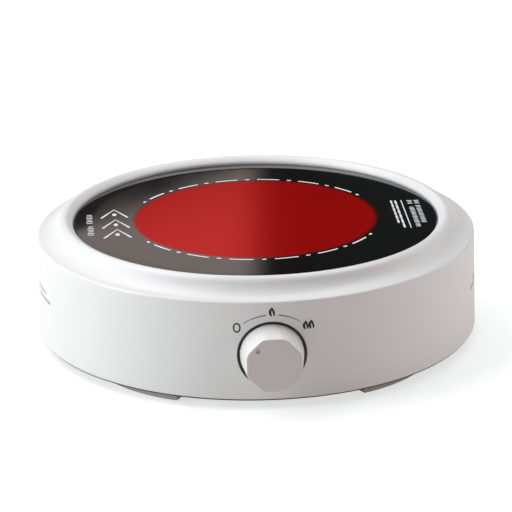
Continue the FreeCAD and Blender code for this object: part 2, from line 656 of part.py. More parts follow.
ta, tc, tb_ = heater_tab(0), heater_tab(1), heater_tab(2)
keep("wire_live", tube([(23, 40, 13), (23, 2, 13), (12, -40, 15), (0, -64, 17.85), (0, -77, 17.85)], wr))
keep("wire_neutral", tube([(32, 56, 13), (32, 68, 13), (10, 84, 13), (-36, 88, 13), (tc[0], tc[1], 14), (tc[0], tc[1], 41.6)], wr))
zt = z_knob - 2.9
keep("wire_low", tube([(-8.65, -77, zt), (-8.65, -64, zt), (-40, -30, 17), (-62, 20, 16), (ta[0], ta[1], 16), (ta[0], ta[1], 41.6)], wr))
keep("wire_high", tube([(8.65, -77, zt), (8.65, -60, zt), (-12, -18, 22), (-40, 40, 19.5), (tb_[0], tb_[1], 19.5), (tb_[0], tb_[1], 41.6)], wr))
keep("wire_earth", tube([(78.5, 14.0, zb + 0.4), (78.5, 24, zb + 0.4), (77, 30, 16), (64, 48, 13), (46, 48, 13)], wr, 6.0))

# ---------------------------------------------------------------- write
for name in sorted(parts):
    s = parts[name]
    print("%-24s solids %d valid %s volume %.0f" % (name, len(s.Solids), s.isValid(), s.Volume))
    s.exportStep("parts/%s.step" % name)
print(len(parts), "nodes")
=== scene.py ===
import json
import math

import bmesh
import bpy
from mathutils import Matrix, Vector


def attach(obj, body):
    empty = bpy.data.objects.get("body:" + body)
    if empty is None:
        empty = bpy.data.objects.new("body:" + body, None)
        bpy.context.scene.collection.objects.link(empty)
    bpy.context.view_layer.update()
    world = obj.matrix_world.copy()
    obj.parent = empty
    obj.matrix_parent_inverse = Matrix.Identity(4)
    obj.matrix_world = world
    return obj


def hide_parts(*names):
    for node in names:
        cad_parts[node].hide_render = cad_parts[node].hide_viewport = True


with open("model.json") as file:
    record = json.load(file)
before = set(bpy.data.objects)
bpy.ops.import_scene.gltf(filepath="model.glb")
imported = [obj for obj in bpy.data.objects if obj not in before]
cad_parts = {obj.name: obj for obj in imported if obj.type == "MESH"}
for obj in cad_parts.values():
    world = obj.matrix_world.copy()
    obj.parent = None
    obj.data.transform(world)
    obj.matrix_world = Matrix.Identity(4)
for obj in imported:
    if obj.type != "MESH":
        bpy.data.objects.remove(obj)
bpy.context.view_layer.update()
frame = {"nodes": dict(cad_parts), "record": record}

NODES = frame["nodes"]
SLOT_OF = {s["node"]: s["material_slot"] for s in frame["record"]["subparts"]}
SC = bpy.context.scene
MM = 0.001


# ---------------------------------------------------------------------------
# materials
# ---------------------------------------------------------------------------
def material(name):
    m = bpy.data.materials.new(name)
    m.use_nodes = True
    nt = m.node_tree
    return m, nt, nt.nodes["Principled BSDF"]


def node(nt, kind, **values):
    n = nt.nodes.new(kind)
    for k, v in values.items():
        setattr(n, k, v)
    return n


def noise(nt, vec, scale, detail=2.0, rough=0.5):
    n = node(nt, "ShaderNodeTexNoise")
    n.inputs["Scale"].default_value = scale
    n.inputs["Detail"].default_value = detail
    n.inputs["Roughness"].default_value = rough
    nt.links.new(vec, n.inputs["Vector"])
    return n.outputs["Fac"]


def remap(nt, value, a, b, c, d, smooth=False):
    n = node(nt, "ShaderNodeMapRange", interpolation_type="SMOOTHSTEP" if smooth else "LINEAR")
    for i, v in enumerate((a, b, c, d)):
        n.inputs[i + 1].default_value = v
    nt.links.new(value, n.inputs[0])
    return n.outputs[0]


def math_node(nt, op, a, b=None):
    n = node(nt, "ShaderNodeMath", operation=op)
    for i, v in enumerate((a, b)):
        if v is None:
            continue
        if isinstance(v, (int, float)):
            n.inputs[i].default_value = v
        else:
            nt.links.new(v, n.inputs[i])
    return n.outputs[0]


def two_tone(nt, fac, dark, light):
    n = node(nt, "ShaderNodeMix", data_type="RGBA")
    n.inputs["A"].default_value = (*dark, 1.0)
    n.inputs["B"].default_value = (*light, 1.0)
    nt.links.new(fac, n.inputs["Factor"])
    return n.outputs["Result"]


def bump(nt, height, strength, distance, after=None):
    n = node(nt, "ShaderNodeBump")
    n.inputs["Strength"].default_value = strength
    n.inputs["Distance"].default_value = distance
    nt.links.new(height, n.inputs["Height"])
    if after is not None:
        nt.links.new(after, n.inputs["Normal"])
    return n.outputs["Normal"]


def scaled(c, k):
    return tuple(x * k for x in c)


def moulded(name, color, rough=0.4, spread=0.03, grain=2600.0, depth=0.05, tone=0.02, specular=0.5):
    """Moulded plastic: a faint drift of tone, uneven gloss and a fine eroded mould grain."""
    m, nt, p = material(name)
    co = node(nt, "ShaderNodeTexCoord").outputs["Object"]
    drift = noise(nt, co, 28.0, 3.0)
    nt.links.new(two_tone(nt, remap(nt, drift, 0.3, 0.7, 0.0, 1.0), scaled(color, 1.0 - tone), color), p.inputs["Base Color"])
    gloss = noise(nt, co, 90.0, 4.0, 0.6)
    nt.links.new(remap(nt, gloss, 0.3, 0.7, rough - spread, rough + spread), p.inputs["Roughness"])
    fine = noise(nt, co, grain, 2.0, 0.6)
    flow = noise(nt, co, 45.0, 2.0)
    n1 = bump(nt, flow, 0.02, 0.001)
    nt.links.new(bump(nt, fine, depth, 0.0001, n1), p.inputs["Normal"])
    p.inputs["Specular IOR Level"].default_value = specular
    return m


def knob_plastic_painted_front_shade(name):
    """Knob moulding: glossy flank, and a front face painted a darker pinkish grey as painted shade."""
    m = moulded(name, (0.70, 0.685, 0.685), 0.34, 0.03, 2600.0, 0.03, 0.012)
    nt = m.node_tree
    p = nt.nodes["Principled BSDF"]
    tc = node(nt, "ShaderNodeTexCoord")
    sep = node(nt, "ShaderNodeSeparateXYZ")
    nt.links.new(tc.outputs["Normal"], sep.inputs[0])
    # painted shade: surfaces that face the front are mixed towards a darker pinkish grey
    front = remap(nt, sep.outputs["Y"], -0.95, -0.25, 1.0, 0.0, True)
    drift = noise(nt, tc.outputs["Object"], 28.0, 3.0)
    flank = two_tone(nt, remap(nt, drift, 0.3, 0.7, 0.0, 1.0), (0.692, 0.677, 0.677), (0.70, 0.685, 0.685))
    mix = node(nt, "ShaderNodeMix", data_type="RGBA")
    mix.inputs["B"].default_value = (0.582, 0.542, 0.537, 1.0)
    nt.links.new(front, mix.inputs["Factor"])
    nt.links.new(flank, mix.inputs["A"])
    nt.links.new(mix.outputs["Result"], p.inputs["Base Color"])
    return m


def metal(name, color, rough=0.3, spread=0.08, along=(1.0, 1.0, 0.06), scale=2500.0, depth=0.12, tone=0.12):
    """Drawn or rolled metal: fine lines along the sheet, cloudy tone and uneven gloss."""
    m, nt, p = material(name)
    co = node(nt, "ShaderNodeTexCoord").outputs["Object"]
    st = node(nt, "ShaderNodeVectorMath", operation="MULTIPLY")
    nt.links.new(co, st.inputs[0])
    st.inputs[1].default_value = along
    lines = noise(nt, st.outputs["Vector"], scale, 3.0, 0.65)
    cloud = noise(nt, co, 120.0, 4.0, 0.6)
    nt.links.new(two_tone(nt, remap(nt, cloud, 0.3, 0.7, 0.0, 1.0), scaled(color, 1.0 - tone), color), p.inputs["Base Color"])
    mixed = math_node(nt, "ADD", math_node(nt, "MULTIPLY", lines, 0.5), math_node(nt, "MULTIPLY", cloud, 0.5))
    nt.links.new(remap(nt, mixed, 0.35, 0.65, rough - spread, rough + spread), p.inputs["Roughness"])
    nt.links.new(bump(nt, lines, depth, 0.00005), p.inputs["Normal"])
    p.inputs["Metallic"].default_value = 1.0
    return m


def fibrous(name, color, rough=0.92):
    """Pressed mineral fibre: matted strands and crumbly pores."""
    m, nt, p = material(name)
    co = node(nt, "ShaderNodeTexCoord").outputs["Object"]
    strands = noise(nt, co, 900.0, 6.0, 0.75)
    v = node(nt, "ShaderNodeTexVoronoi")
    v.inputs["Scale"].default_value = 420.0
    nt.links.new(co, v.inputs["Vector"])
    pores = v.outputs["Distance"]
    nt.links.new(two_tone(nt, remap(nt, strands, 0.3, 0.7, 0.0, 1.0), scaled(color, 0.78), color), p.inputs["Base Color"])
    nt.links.new(remap(nt, strands, 0.3, 0.7, rough - 0.06, rough + 0.06), p.inputs["Roughness"])
    n1 = bump(nt, pores, 0.3, 0.0004)
    nt.links.new(bump(nt, strands, 0.5, 0.0003, n1), p.inputs["Normal"])
    p.inputs["Specular IOR Level"].default_value = 0.2
    return m


def soft_rubber(name, color, rough=0.75):
    """Rubber or silicone: dull, dusty in patches, with a pebbled skin."""
    m, nt, p = material(name)
    co = node(nt, "ShaderNodeTexCoord").outputs["Object"]
    dust = noise(nt, co, 160.0, 5.0, 0.65)
    nt.links.new(two_tone(nt, remap(nt, dust, 0.42, 0.75, 0.0, 1.0, True), color, tuple(x * 0.8 + 0.03 for x in color)), p.inputs["Base Color"])
    nt.links.new(remap(nt, dust, 0.3, 0.7, rough - 0.1, rough + 0.1), p.inputs["Roughness"])
    v = node(nt, "ShaderNodeTexVoronoi", feature="SMOOTH_F1")
    v.inputs["Scale"].default_value = 1500.0
    nt.links.new(co, v.inputs["Vector"])
    nt.links.new(bump(nt, v.outputs["Distance"], 0.2, 0.0001), p.inputs["Normal"])
    p.inputs["Specular IOR Level"].default_value = 0.35
    return m


def black_glass():
    """Dark glass-ceramic: nearly black body with a faint green cast, fine speckle, polished with slight wipe marks."""
    m, nt, p = material("black_glass")
    co = node(nt, "ShaderNodeTexCoord").outputs["Object"]
    speck = noise(nt, co, 1800.0, 2.0, 0.7)
    nt.links.new(two_tone(nt, remap(nt, speck, 0.55, 0.8, 0.0, 1.0), (0.023, 0.0265, 0.026), (0.036, 0.040, 0.039)), p.inputs["Base Color"])
    st = node(nt, "ShaderNodeVectorMath", operation="MULTIPLY")
    nt.links.new(co, st.inputs[0])
    st.inputs[1].default_value = (1.0, 0.25, 1.0)
    wipe = noise(nt, st.outputs["Vector"], 55.0, 5.0, 0.65)
    nt.links.new(remap(nt, wipe, 0.35, 0.75, 0.045, 0.085), p.inputs["Roughness"])
    ripple = noise(nt, co, 22.0, 1.0)
    nt.links.new(bump(nt, ripple, 0.006, 0.001), p.inputs["Normal"])
    p.inputs["IOR"].default_value = 1.5
    return m


def lit_zone():
    """The heated zone as the dark glass lets it through: an even red glow with the two windings faintly showing."""
    m, nt, p = material("lit_zone")
    co = node(nt, "ShaderNodeTexCoord").outputs["Object"]
    xy = node(nt, "ShaderNodeVectorMath", operation="MULTIPLY")
    nt.links.new(co, xy.inputs[0])
    xy.inputs[1].default_value = (1.0, 1.0, 0.0)
    ln = node(nt, "ShaderNodeVectorMath", operation="LENGTH")
    nt.links.new(xy.outputs["Vector"], ln.inputs[0])
    r = ln.outputs["Value"]
    # windings: four arcs of each circuit, blurred by the glass
    wave = math_node(nt, "SINE", math_node(nt, "MULTIPLY", r, 2.0 * math.pi / 0.0055))
    inside = remap(nt, r, 0.012, 0.024, 0.0, 1.0, True)
    wound = math_node(nt, "MULTIPLY", math_node(nt, "MULTIPLY", wave, inside), 0.035)
    patch = remap(nt, noise(nt, co, 40.0, 2.0), 0.3, 0.7, 0.95, 1.05)
    level = math_node(nt, "MULTIPLY", math_node(nt, "ADD", wound, 1.0), patch)
    edge = remap(nt, r, 0.0582, 0.0608, 1.0, 0.12, True)
    glow = math_node(nt, "MULTIPLY", level, edge)
    nt.links.new(two_tone(nt, glow, (0.0, 0.0, 0.0), (0.248, 0.0024, 0.0022)), p.inputs["Emission Color"])
    p.inputs["Emission Strength"].default_value = 1.0
    # towards its edge the zone fades into the tone of the glass around it
    fade = remap(nt, r, 0.0586, 0.0609, 1.0, 0.0, True)
    nt.links.new(two_tone(nt, fade, (0.28, 0.25, 0.235), (0.341, 0.06, 0.059)), p.inputs["Base Color"])
    p.inputs["Metallic"].default_value = 1.0
    p.inputs["Specular Tint"].default_value = (0.66, 0.43, 0.43, 1.0)
    speck = noise(nt, co, 1800.0, 2.0, 0.7)
    nt.links.new(remap(nt, speck, 0.3, 0.7, 0.10, 0.16), p.inputs["Roughness"])
    return m


def screen_print(name, color, rough=0.45):
    """Fired enamel print: slightly uneven cover with a fine mesh texture."""
    m, nt, p = material(name)
    co = node(nt, "ShaderNodeTexCoord").outputs["Object"]
    cover = noise(nt, co, 700.0, 3.0, 0.6)
    nt.links.new(two_tone(nt, remap(nt, cover, 0.3, 0.7, 0.0, 1.0), scaled(color, 0.9), color), p.inputs["Base Color"])
    nt.links.new(remap(nt, cover, 0.3, 0.7, rough - 0.06, rough + 0.06), p.inputs["Roughness"])
    mesh = noise(nt, co, 5200.0, 1.0)
    nt.links.new(bump(nt, mesh, 0.1, 0.00003), p.inputs["Normal"])
    p.inputs["Specular IOR Level"].default_value = 0.3
    return m


def winding(name):
    """Heating strip: oxidised, straw to blue-grey along its length."""
    m, nt, p = material(name)
    co = node(nt, "ShaderNodeTexCoord").outputs["Object"]
    cloud = noise(nt, co, 180.0, 4.0, 0.6)
    nt.links.new(two_tone(nt, remap(nt, cloud, 0.35, 0.65, 0.0, 1.0), (0.10, 0.09, 0.085), (0.24, 0.17, 0.12)), p.inputs["Base Color"])
    nt.links.new(remap(nt, cloud, 0.3, 0.7, 0.45, 0.7), p.inputs["Roughness"])
    nt.links.new(bump(nt, noise(nt, co, 2400.0, 3.0), 0.25, 0.0001), p.inputs["Normal"])
    p.inputs["Metallic"].default_value = 0.85
    return m


WHITE = (0.70, 0.70, 0.70)
MATS = {
    "white_shell": moulded("white_shell", WHITE, 0.36, 0.03, 2600.0, 0.035, 0.012),
    "white_knob": knob_plastic_painted_front_shade("white_knob"),
    "black_glass": black_glass(),
    # besides real black parts, this colours the bezel round the knob, whose near-black is painted shade for the gap
    # there
    "black_plastic": moulded("black_plastic", (0.012, 0.012, 0.012), 0.42, 0.06, 1800.0, 0.12, 0.25),
    "grey_plastic": moulded("grey_plastic", (0.36, 0.345, 0.342), 0.5, 0.06, 1600.0, 0.14, 0.10),
    "rubber": soft_rubber("rubber", (0.035, 0.034, 0.034)),
    "seal": soft_rubber("seal", (0.05, 0.05, 0.052), 0.6),
    "steel": metal("steel", (0.60, 0.60, 0.61), 0.32),
    "aluminium": metal("aluminium", (0.82, 0.83, 0.84), 0.34, 0.08, (1.0, 0.06, 1.0)),
    "insulation": fibrous("insulation", (0.78, 0.75, 0.68)),
    "ceramic": moulded("ceramic", (0.82, 0.79, 0.71), 0.55, 0.08, 900.0, 0.16, 0.08),
    "heating_alloy": winding("heating_alloy"),
    "brass": metal("brass", (0.80, 0.60, 0.28), 0.28),
    "cream_plastic": moulded("cream_plastic", (0.72, 0.66, 0.52), 0.45, 0.05, 1800.0, 0.1, 0.05),
    "wire_brown": moulded("wire_brown", (0.13, 0.055, 0.025), 0.4, 0.06, 1200.0, 0.1, 0.15),
    "wire_blue": moulded("wire_blue", (0.03, 0.12, 0.42), 0.4, 0.06, 1200.0, 0.1, 0.15),
    "wire_green": moulded("wire_green", (0.12, 0.34, 0.05), 0.4, 0.06, 1200.0, 0.1, 0.15),
    "wire_red": moulded("wire_red", (0.45, 0.025, 0.02), 0.4, 0.06, 1200.0, 0.1, 0.15),
    "wire_black": moulded("wire_black", (0.02, 0.02, 0.02), 0.4, 0.06, 1200.0, 0.1, 0.15),
}
PRINT_WHITE = screen_print("print_white", (0.74, 0.75, 0.76))
PRINT_DARK = screen_print("print_dark", (0.035, 0.032, 0.032), 0.5)
PRINT_GREY = screen_print("print_grey", (0.14, 0.135, 0.135), 0.5)
# painted shade: the base rim's near-black stands in for the shadow line under the white wall
RIM_PAINTED_SHADE = moulded("rim_painted_shade", (0.05, 0.047, 0.046), 0.5, 0.06, 1600.0, 0.14, 0.15)
ZONE = lit_zone()

for name, ob in NODES.items():
    ob.data.materials.clear()
    ob.data.materials.append(MATS[SLOT_OF[name]])


# ---------------------------------------------------------------------------
# mesh helpers (millimetres in, metres out)
# ---------------------------------------------------------------------------
def piece(name, verts, faces, mat, body="stove", angle=35.0):
    me = bpy.data.meshes.new(name)
    me.from_pydata([(x * MM, y * MM, z * MM) for x, y, z in verts], [], faces)
    bm = bmesh.new()
    bm.from_mesh(me)
    bmesh.ops.recalc_face_normals(bm, faces=bm.faces)
    bm.to_mesh(me)
    bm.free()
    me.polygons.foreach_set("use_smooth", [True] * len(me.polygons))
    me.set_sharp_from_angle(angle=math.radians(angle))
    me.materials.append(mat)
    ob = bpy.data.objects.new(name, me)
    SC.collection.objects.link(ob)
    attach(ob, body)
    return ob


def circle_at(c, r, deg):
    a = math.radians(deg)
    return (c[0] + r * math.cos(a), c[1] + r * math.sin(a))


def sweep(c, r, a0, a1, n, first=False):
    return [circle_at(c, r, a0 + (a1 - a0) * i / n) for i in range(0 if first else 1, n + 1)]


def ring_quads(a, b, faces):
    n = len(a)
    for i in range(n):
        faces.append((a[i], a[(i + 1) % n], b[(i + 1) % n], b[i]))


# ---------------------------------------------------------------------------
# drum: turned skin with the dial hole, side vents and the cord inlet's seat
# ---------------------------------------------------------------------------
Z_BODY, Z_GLASS, Z_CREST, Z_DIAL, Z_INLET = 4.54, 57.0, 60.3, 26.5, 22.0
DRAFT, WALL = math.radians(1.07), 2.4
CREST_C = (93.9, Z_CREST - 4.3)
P1 = circle_at(CREST_C, 4.3, 30.0)
SWEEP_R = (106.0 - P1[0]) / (math.cos(math.radians(30)) + math.cos(math.radians(262)))
SWEEP_C = circle_at(P1, SWEEP_R, 30.0)
P2 = circle_at(SWEEP_C, SWEEP_R, 262.0)
P3 = (P2[0] + 1.04 * math.cos(math.radians(8)), P2[1] - 1.04 * math.sin(math.radians(8)))
SH_R = 1.1
SH_C = (P3[0] - SH_R * math.sin(math.radians(8)), P3[1] - SH_R * math.cos(math.radians(8)))
P4 = circle_at(SH_C, SH_R, 1.07)


def wall_r(z):
    return P4[0] + (P4[1] - z) * math.tan(DRAFT)


def wall_in(z):
    return wall_r(z) - WALL


def build_drum():
    cols = 360
    step, z0 = 1.15, 29.05
    prof, outer, inner = [], {}, {}
    prof += [(84.0, 52.1), (84.3, 52.4), (89.9, 52.4), (90.2, 52.7), (90.2, 57.2), (90.22, 57.55), (90.32, 57.85), (90.52, 58.15), (90.82, 58.48), (91.2, 58.83)]
    prof += [(91.65, 59.19), (92.15, 59.54), (92.65, 59.84), (93.1, 60.06), (93.5, 60.21), (93.9, 60.3)]
    prof += sweep(CREST_C, 4.3, 90.0, 30.0, 12)
    prof += sweep(SWEEP_C, SWEEP_R, 210.0, 262.0, 20)
    prof += [P3]
    prof += sweep(SH_C, SH_R, 82.0, 1.07, 9)
    for k in range(18, -20, -1):
        z = z0 + step * k
        outer[k] = len(prof)
        prof.append((wall_r(z), z))
    foot_c = (wall_r(Z_BODY) - 0.8, Z_BODY + 0.8)
    prof += sweep(foot_c, 0.8, 0.0, -90.0, 5, True)
    prof += [(wall_in(Z_BODY) + 0.3, Z_BODY), (wall_in(Z_BODY), Z_BODY + 0.3)]
    for k in range(-19, 18):
        z = z0 + step * k
        inner[k] = len(prof)
        prof.append((wall_in(z), z))
    prof += [(104.6, 49.8), (102.0, 50.7), (98.5, 53.1), (95.0, 57.0), (94.2, 57.9), (92.5, 57.9), (92.5, 49.8), (84.3, 49.8), (84.0, 50.1)]
    verts, faces, made, shut = [], [], {}, set()

    def add(p):
        verts.append(p)
        return len(verts) - 1

    def at(i, j):
        j %= cols
        if (i, j) not in made:
            r, z = prof[i]
            a = math.radians(j)
            made[i, j] = add((r * math.sin(a), -r * math.cos(a), z))
        return made[i, j]

    def block(c0, c1, k0, k1):
        """Leaves a window in both skins and gives the two matching loops around it."""
        for j in range(c0, c1):
            for k in range(k0, k1):
                shut.add((outer[k + 1], j % cols))
                shut.add((inner[k], j % cols))
        loop = [(k1, j) for j in range(c0, c1)] + [(k, c1) for k in range(k1, k0, -1)]
        loop += [(k0, j) for j in range(c1, c0, -1)] + [(k, c0) for k in range(k0, k1)]
        return loop, [at(outer[k], j) for k, j in loop], [at(inner[k], j) for k, j in loop]

    def round_hole(c0, c1, k0, k1, zc, r, rnd, front, seat=None):
        loop, out, inn = block(c0, c1, k0, k1)
        way = -1.0 if front else 1.0

        def skin(x, z, rad):
            return way * math.sqrt(rad(z) ** 2 - x * x)

        n = len(loop)
        phi = [math.atan2(verts[v][2] - zc, verts[v][0]) for v in out]
        rings = [out]
        big = r + rnd
        for t in (0.3, 0.6, 0.85, 0.96, 1.0):
            ids = []
            for i in range(n):
                x = (1 - t) * verts[out[i]][0] + t * big * math.cos(phi[i])
                z = (1 - t) * verts[out[i]][2] + t * (zc + big * math.sin(phi[i]))
                ids.append(add((x, skin(x, z, wall_r), z)))
            rings.append(ids)
        for a in (22.5, 45.0, 67.5, 90.0):
            q, d = big - rnd * math.sin(math.radians(a)), rnd * (1 - math.cos(math.radians(a)))
            ids = []
            for i in range(n):
                x, z = q * math.cos(phi[i]), zc + q * math.sin(phi[i])
                ids.append(add((x, skin(x, z, wall_r) - way * d, z)))
            rings.append(ids)
        bore = r
        if seat:
            y, bore = seat
            for q in (r, bore + 0.2, bore):
                rings.append([add((q * math.cos(f), y if q != bore else y - way * 0.2, zc + q * math.sin(f))) for f in phi])
        rings.append([add((bore * math.cos(f), skin(bore * math.cos(f), zc + bore * math.sin(f), wall_in), zc + bore * math.sin(f))) for f in phi])
        ids = []
        for i in range(n):
            x = 0.5 * verts[inn[i]][0] + 0.5 * bore * math.cos(phi[i])
            z = 0.5 * verts[inn[i]][2] + 0.5 * (zc + bore * math.sin(phi[i]))
            ids.append(add((x, skin(x, z, wall_in), z)))
        rings += [ids, inn]
        for a, b in zip(rings[:-1], rings[1:]):
            ring_quads(a, b, faces)

    def slot_hole(c0, k0):
        c1, k1 = c0 + 12, k0 + 3
        loop, out, inn = block(c0, c1, k0, k1)
        cm, km = c0 + 6, k0 + 1.5
        zc = z0 + step * km

        def spot(k, j, grow):
            a, b = j - cm, k - km
            half, h, rc = math.radians(5.2) * 108.4 + grow, 0.8 + grow, 0.6 + grow
            sa, sb = (1 if a > 0 else -1), (1 if b > 0 else -1)
            if abs(a) == 6 and abs(b) > 1.0:
                u, v = sa * (half - rc + rc * 0.7071), sb * (h - rc + rc * 0.7071)
            elif abs(b) > 1.0:
                u, v = a / 5.0 * (half - rc), sb * h
            else:
                u, v = sa * half, 2.0 * b * (h - rc)
            return math.radians(cm) + u / 108.4, zc + v

        def put(grow, depth, rad=wall_r):
            ids = []
            for k, j in loop:
                a, z = spot(k, j, grow)
                r = rad(z) - depth
                ids.append(add((r * math.sin(a), -r * math.cos(a), z)))
            return ids

        rings = [out, put(0.55, 0.0), put(0.3, 0.0)]
        for a in (30.0, 60.0, 90.0):
            rings.append(put(0.3 - 0.3 * math.sin(math.radians(a)), 0.3 * (1 - math.cos(math.radians(a)))))
        rings += [put(0.0, 0.0, wall_in), inn]
        for a, b in zip(rings[:-1], rings[1:]):
            ring_quads(a, b, faces)

    round_hole(-12, 12, -18, 15, Z_DIAL, 16.2, 0.3, True)
    round_hole(171, 189, -16, 5, Z_INLET, 10.4, 0.25, False, (107.6, 6.1))
    for c in (0, 12, 24):
        for k, back in ((1, 1), (-2, -2)):
            slot_hole(72 + c + back, k)
            slot_hole(252 + c - back, k)
    n = len(prof)
    for i in range(n):
        for j in range(cols):
            if (i, j) not in shut:
                faces.append((at(i, j), at(i, j + 1), at((i + 1) % n, j + 1), at((i + 1) % n, j)))
    ob = piece("drum_skin", verts, faces, MATS["white_shell"], angle=38.0)
    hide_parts("upper_housing")
    return ob


# ---------------------------------------------------------------------------
# glass disc, its prints and the lit zone
# ---------------------------------------------------------------------------
def build_glass():
    cols = 360
    prof = [(r, 57.0) for r in (8.0, 20.0, 32.0, 44.0, 56.0, 68.0, 80.0)]
    prof += sweep((89.3, 56.4), 0.6, 90.0, 0.0, 6, True)
    prof += [(89.9, 53.4), (89.78, 53.12), (89.5, 53.0), (78.0, 53.0), (60.0, 53.0), (40.0, 53.0), (20.0, 53.0), (8.0, 53.0)]
    verts, faces, rows = [], [], []
    for r, z in prof:
        rows.append(list(range(len(verts), len(verts) + cols)))
        verts += [(r * math.sin(math.radians(j)), -r * math.cos(math.radians(j)), z) for j in range(cols)]
    for a, b in zip(rows[:-1], rows[1:]):
        ring_quads(a, b, faces)
    faces += [tuple(rows[0]), tuple(reversed(rows[-1]))]
    ob = piece("glass_disc", verts, faces, MATS["black_glass"])
    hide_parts("glass_plate")
    return ob


def build_zone():
    """Thin lit layer of the heated zone, just proud of the glass, with a rounded rim."""
    cols = 240
    prof = [(r, 57.012) for r in (6.0, 15.0, 25.0, 35.0, 45.0, 53.0, 58.0, 60.0)]
    prof += [(60.5, 57.009), (60.62, 57.0), (60.62, 56.97), (58.0, 56.97), (40.0, 56.97), (20.0, 56.97), (6.0, 56.97)]
    verts, faces, rows = [], [], []
    for r, z in prof:
        rows.append(list(range(len(verts), len(verts) + cols)))
        verts += [(r * math.sin(math.radians(1.5 * j)), -r * math.cos(math.radians(1.5 * j)), z) for j in range(cols)]
    for a, b in zip(rows[:-1], rows[1:]):
        ring_quads(a, b, faces)
    faces += [tuple(rows[0]), tuple(reversed(rows[-1]))]
    return piece("heat_zone", verts, faces, ZONE)


def strip(verts, faces, left, right, place, top, low, closed=False):
    """Closed thin layer between two edges given as flat points; place() sets them on the surface at a height."""
    n = len(left)
    base = len(verts)
    for h in (top, low):
        verts += [place(u, v, h) for u, v in left]
        verts += [place(u, v, h) for u, v in right]
    lt, rt, lb, rb = (list(range(base + i * n, base + (i + 1) * n)) for i in range(4))
    m = n if closed else n - 1
    for i in range(m):
        j = (i + 1) % n
        faces.append((lt[i], rt[i], rt[j], lt[j]))
        faces.append((lb[i], lb[j], rb[j], rb[i]))
        faces.append((lt[i], lt[j], lb[j], lb[i]))
        faces.append((rt[i], rb[i], rb[j], rt[j]))
    if not closed:
        faces.append((lt[0], lb[0], rb[0], rt[0]))
        faces.append((lt[-1], rt[-1], rb[-1], lb[-1]))


def stroke(verts, faces, line, place, top, low, fine=1.0, tips=True):
    """Brush line through (u, v, half width) points, cut fine enough to follow a curved surface, with rounded tips."""
    pts = []
    for (u0, v0, w0), (u1, v1, w1) in zip(line[:-1], line[1:]):
        n = max(1, math.ceil(math.hypot(u1 - u0, v1 - v0) / fine))
        pts += [(u0 + (u1 - u0) * i / n, v0 + (v1 - v0) * i / n, w0 + (w1 - w0) * i / n) for i in range(n)]
    pts.append(line[-1])
    n = len(pts)
    left, right = [], []

    def side(p, d, w):
        left.append((p[0] - d[1] * w, p[1] + d[0] * w))
        right.append((p[0] + d[1] * w, p[1] - d[0] * w))

    dirs = []
    for i in range(n):
        a, b = pts[max(0, i - 1)], pts[min(n - 1, i + 1)]
        ln = math.hypot(b[0] - a[0], b[1] - a[1])
        dirs.append(((b[0] - a[0]) / ln, (b[1] - a[1]) / ln))
    if tips:
        w = pts[0][2]
        for q in (0.98, 0.8, 0.45):
            side((pts[0][0] - dirs[0][0] * w * q, pts[0][1] - dirs[0][1] * w * q), dirs[0], w * math.sqrt(1 - q * q))
    for p, d in zip(pts, dirs):
        side(p, d, p[2])
    if tips:
        w = pts[-1][2]
        for q in (0.45, 0.8, 0.98):
            side((pts[-1][0] + dirs[-1][0] * w * q, pts[-1][1] + dirs[-1][1] * w * q), dirs[-1], w * math.sqrt(1 - q * q))
    strip(verts, faces, left, right, place, top, low)


def arc_line(r, a0, a1, w, n, c=(0.0, 0.0)):
    """Points along an arc; angles in degrees from straight down (front), counter-clockwise seen from above."""
    out = []
    for i in range(n + 1):
        a = math.radians(a0 + (a1 - a0) * i / n)
        out.append((c[0] + r * math.sin(a), c[1] - r * math.cos(a), w))
    return out


def on_glass(u, v, h):
    return (u, v, Z_GLASS + h)


def on_wall(u, v, h):
    """u along the wall from the dial's axis, v height."""
    r, a = wall_r(v) + h, u / 108.4
    return (r * math.sin(a), -r * math.cos(a), v)


def build_prints():
    top, low = 0.024, -0.03
    # zone ring: dots every 20 degrees, a dash between each two
    verts, faces = [], []
    for side in (0.0, 180.0):
        for k in range(-3, 4):
            a = side + 20.0 * k
            stroke(verts, faces, arc_line(62.2, a - 0.5, a + 0.5, 0.66, 2), on_glass, top, low)
            if k < 3:
                stroke(verts, faces, arc_line(62.2, a + 10.0 - 4.9, a + 10.0 + 4.9, 0.58, 12), on_glass, top, low)
    piece("zone_ring_print", verts, faces, PRINT_WHITE)
    # left: stacked chevrons, each with a dot, and two rows of plain ticks
    verts, faces = [], []
    for y, x in ((7.9, -69.6), (-7.8, -69.1), (-22.8, -68.5)):
        stroke(verts, faces, [(x - 6.4, y, 0.6), (x, y + 12.3, 0.5), (x + 6.4, y, 0.6)], on_glass, top, low, 30.0)
        stroke(verts, faces, [(x, y + 3.6, 1.0), (x, y + 5.4, 1.0)], on_glass, top, low, 30.0)
    for x, y0 in ((-82.0, 12.8), (-81.5, -5.4)):
        for i in range(6):
            w = 1.15 if i % 3 else 0.8
            stroke(verts, faces, [(x - w, y0 - 2.45 * i, 0.5), (x + w, y0 - 2.45 * i, 0.5)], on_glass, top, low, 30.0)
    piece("left_print", verts, faces, PRINT_WHITE)
    # right: plain rules and ticks
    verts, faces = [], []

    def dashes(x, y0, y1, w, on, off):
        y = y0
        while y - on > y1 - 0.01:
            stroke(verts, faces, [(x, y - w, w), (x, y - on + w, w)], on_glass, top, low, 30.0)
            y -= on + off

    dashes(69.6, 19.6, -16.4, 0.5, 5.4, 0.6)
    dashes(71.7, 19.4, -24.0, 0.52, 6.6, 0.6)
    stroke(verts, faces, [(74.7, 19.2, 0.27), (74.7, -23.4, 0.27)], on_glass, top, low, 60.0)
    for x, y0, y1, skip in ((78.7, 18.4, -22.4, 6.2), (82.2, 18.4, -17.0, 5.6)):
        i = 0
        y = y0
        while y > y1:
            if not (y0 - skip - 2.6 < y < y0 - skip):
                w = (0.95, 0.6, 0.9, 0.7)[i % 4]
                stroke(verts, faces, [(x - w, y, 0.5), (x + w * 0.9, y, 0.5)], on_glass, top, low, 30.0)
            y -= 2.1
            i += 1
    piece("right_print", verts, faces, PRINT_WHITE)


